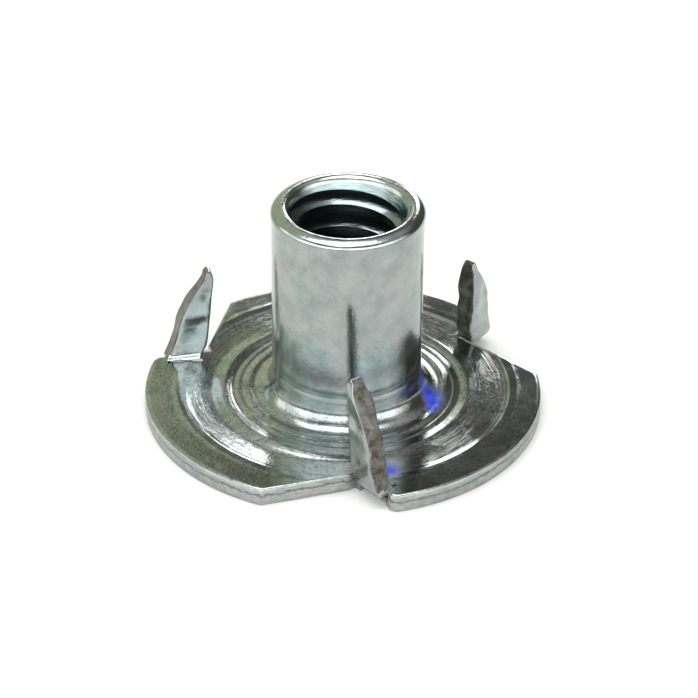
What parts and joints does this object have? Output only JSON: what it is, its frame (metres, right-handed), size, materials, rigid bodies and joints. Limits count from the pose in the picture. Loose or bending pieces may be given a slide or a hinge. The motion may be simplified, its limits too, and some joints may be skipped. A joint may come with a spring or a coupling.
{
  "type": "tee nut",
  "caption": "Flanged tee nut for wood: a threaded barrel drawn up from a round flange, with pointed prongs bent up from the rim.",
  "frame": {"origin": "on the barrel's axis, in the plane of the flange's underside", "axes": "+Z along the barrel's axis, from the flange towards the barrel's mouth; a prong stands near -Y"},
  "size_m": [0.0205, 0.0201, 0.0115],
  "materials": {
    "zinc_plated_steel": "bright zinc plating with a clear bluish passivation over stamped low-carbon steel"
  },
  "bodies": {
    "root": {"tee_nut": "zinc_plated_steel"}
  },
  "joints": []
}
